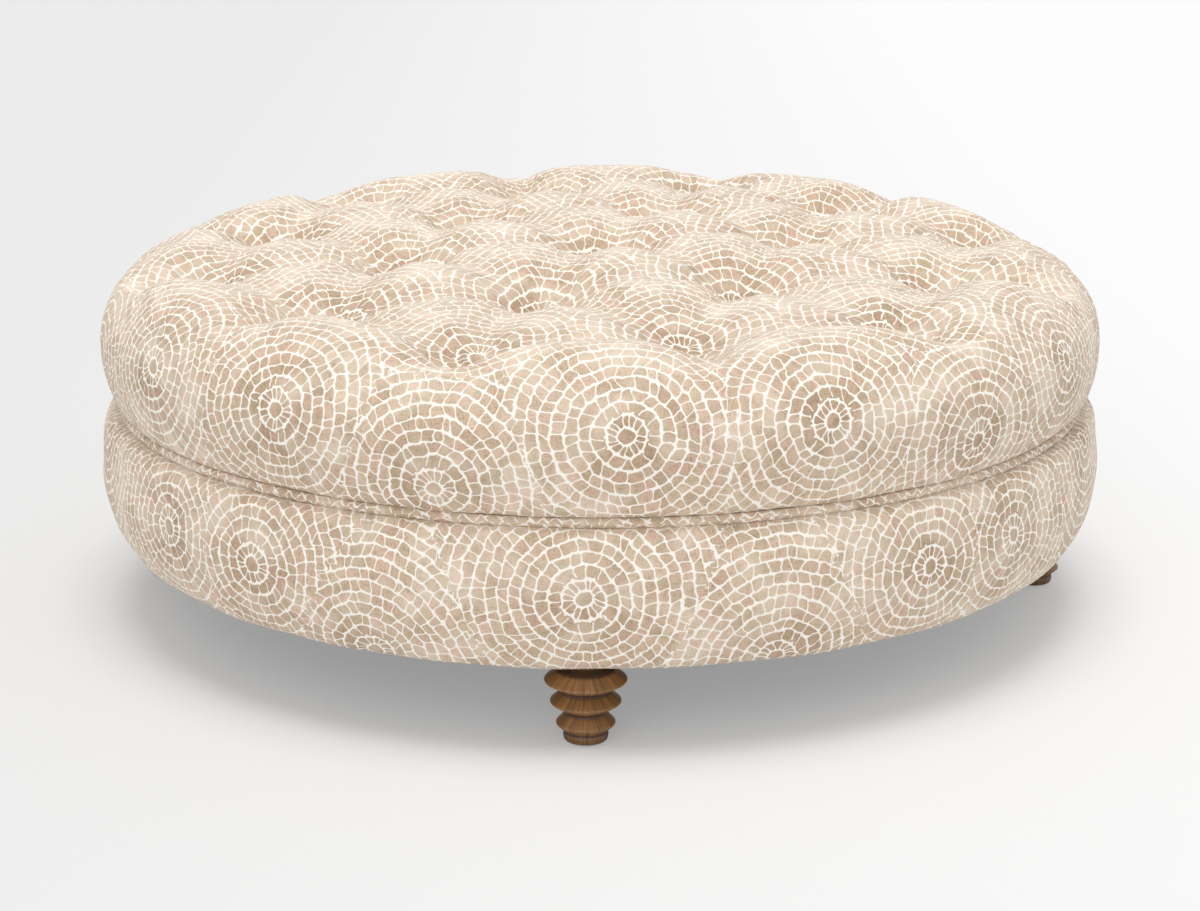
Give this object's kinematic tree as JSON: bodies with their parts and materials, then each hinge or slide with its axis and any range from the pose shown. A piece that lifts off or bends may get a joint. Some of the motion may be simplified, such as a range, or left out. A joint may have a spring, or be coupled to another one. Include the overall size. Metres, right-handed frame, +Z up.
{
  "type": "ottoman coffee table",
  "caption": "Round cocktail ottoman with a deep button-tufted cushion top, a padded apron, a welted seam and turned bead feet.",
  "frame": {"origin": "on the floor under the middle of the ottoman", "axes": "+Z up, the side that faces the viewer is -Y, +X to the viewer's right"},
  "size_m": [1.22, 1.22, 0.4445],
  "materials": {
    "mosaic_fabric": "woven, printed, matt",
    "foam": "open-cell foam",
    "twine": "waxed twine",
    "dust_cloth": "spun-bonded cloth",
    "plywood": "bare plywood",
    "softwood": "bare, sawn",
    "bent_board": "hardboard",
    "turned_wood": "stained, satin lacquer",
    "zinc_steel": "zinc plated",
    "nylon": "moulded nylon"
  },
  "bodies": {
    "root": {"apron_cover": "mosaic_fabric", "apron_padding": "foam", "apron_panel": "bent_board", "base_ring": "plywood", "block_screws": "zinc_steel", "deck_rail_front": "softwood", "deck_rail_rear": "softwood", "deck_screws": "zinc_steel", "dust_cover": "dust_cloth", "dust_cover_staples": "zinc_steel", "feet": "turned_wood", "foot_block_front": "softwood", "foot_block_left": "softwood", "foot_block_rear": "softwood", "foot_block_right": "softwood", "foot_bolts": "zinc_steel", "foot_glides": "nylon", "foot_tee_nuts": "zinc_steel", "post_1": "softwood", "post_2": "softwood", "post_3": "softwood", "post_4": "softwood", "post_5": "softwood", "post_6": "softwood", "post_7": "softwood", "post_8": "softwood", "post_screws": "zinc_steel", "rail_screws": "zinc_steel", "seam_welt": "mosaic_fabric", "seat_cover": "mosaic_fabric", "seat_foam": "foam", "tuft_buttons": "mosaic_fabric", "tufting_deck": "plywood", "tufting_twine": "twine", "twine_clasps": "nylon", "waist_ring": "plywood"}
  },
  "joints": []
}
